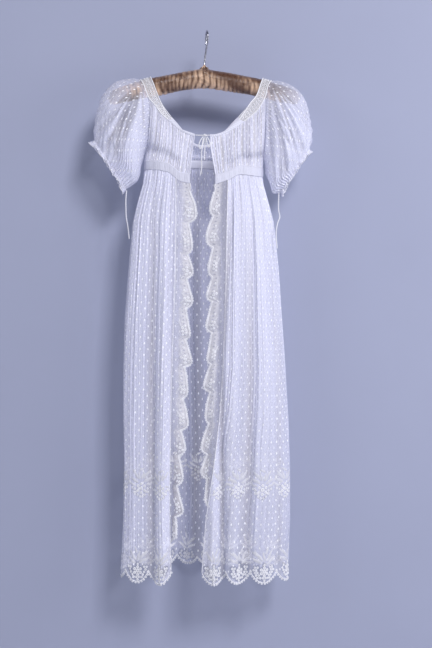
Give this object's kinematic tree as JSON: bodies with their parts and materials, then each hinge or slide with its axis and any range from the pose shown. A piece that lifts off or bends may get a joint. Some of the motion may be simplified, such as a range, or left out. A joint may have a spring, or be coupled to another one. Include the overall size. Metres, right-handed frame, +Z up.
{
  "type": "high-waisted open gown on a padded coat hanger",
  "caption": "Sheer dotted muslin open gown with short puffed sleeves, scalloped lace front edges and embroidered hem, hung on a ruched satin hanger with a wire hook.",
  "frame": {"origin": "inside top of the hanger's hook, where it is held", "axes": "+Z up from the hem to the hook, +X across the shoulders to the right of a person facing the gown, -Y to the gown's front"},
  "size_m": [0.4704, 0.1303, 1.1465],
  "materials": {
    "dotted_muslin": "sheer white net with woven dots and white embroidery",
    "cotton_lace": "white openwork lace",
    "cotton_tape": "white cotton binding, waistband and drawstrings",
    "golden_satin": "ruched golden brown satin over wadding",
    "polished_steel": "bright bent wire"
  },
  "bodies": {
    "root": {"bodice_front_left": "dotted_muslin", "bodice_front_right": "dotted_muslin", "bodice_back": "dotted_muslin", "skirt_front_left": "dotted_muslin", "skirt_front_right": "dotted_muslin", "skirt_back": "dotted_muslin", "sleeve_left": "dotted_muslin", "sleeve_right": "dotted_muslin", "shoulder_lace_left": "cotton_lace", "shoulder_lace_right": "cotton_lace", "front_lace_left": "cotton_lace", "front_lace_right": "cotton_lace", "neck_binding_left": "cotton_tape", "neck_binding_right": "cotton_tape", "neck_binding_back": "cotton_tape", "waistband_front_left": "cotton_tape", "waistband_front_right": "cotton_tape", "waistband_back": "cotton_tape", "sleeve_tie_left": "cotton_tape", "sleeve_tie_right": "cotton_tape", "neck_string": "cotton_tape", "bow_knot": "cotton_tape", "bow_loop_left": "cotton_tape", "bow_loop_right": "cotton_tape", "bow_end_left": "cotton_tape", "bow_end_right": "cotton_tape", "hanger_pad": "golden_satin", "hanger_hook": "polished_steel"}
  },
  "joints": []
}
